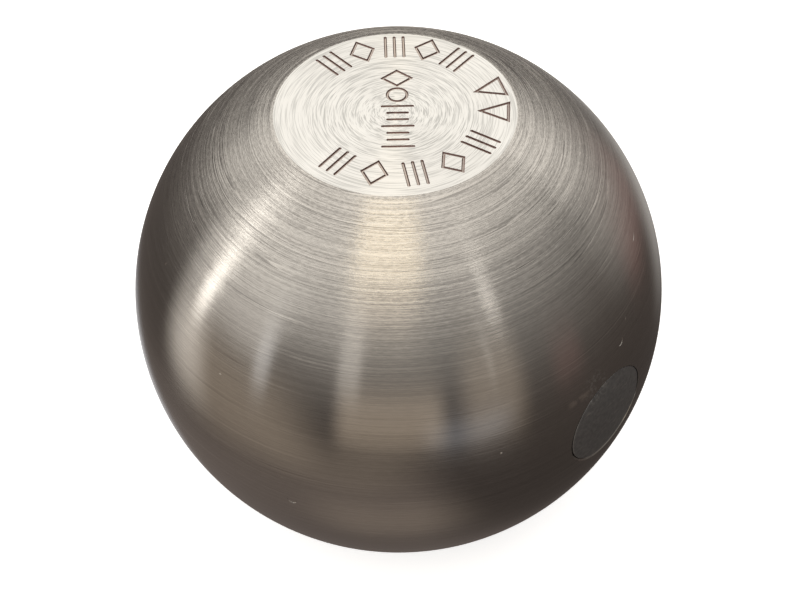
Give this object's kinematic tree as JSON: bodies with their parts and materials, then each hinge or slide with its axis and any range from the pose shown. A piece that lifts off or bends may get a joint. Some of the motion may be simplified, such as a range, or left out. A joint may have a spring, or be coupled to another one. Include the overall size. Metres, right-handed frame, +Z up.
{
  "type": "gooseneck hitch ball",
  "caption": "Quick-change 50 mm coupling ball with a flat crown, a blind post socket underneath and a flush, sprung cross lock pin.",
  "frame": {"origin": "centre of the flat foot face that stands on the shank's collar", "axes": "+Z up the ball's axis to the flat crown; +X along the lock pin, out of the side that it is pressed from; the pin lies 8.2 mm to the +Y side of the axis"},
  "size_m": [0.05, 0.05, 0.0417],
  "materials": {
    "ball_steel": "turned and lightly polished, warm grey",
    "pin_steel": "ground, blackened",
    "spring_steel": "drawn wire, satin",
    "seat_steel": "turned",
    "screw_steel": "black oxide",
    "seal_rubber": "matte black"
  },
  "bodies": {
    "ball": {"ball_body": "ball_steel", "spring_seat": "seat_steel", "guide_screw": "screw_steel", "socket_seal": "seal_rubber", "lock_spring": "spring_steel"},
    "lock_pin": {"lock_pin": "pin_steel", "pin_seal": "seal_rubber"}
  },
  "joints": [
    {"name": "lock_pin_slide", "type": "slide", "parent": "ball", "child": "lock_pin", "axis": [-1, 0, 0], "range_m": [0, 0.0065], "stiffness_N_per_m": 2800, "springref_m": -0.003, "deforming": ["lock_spring"]}
  ]
}
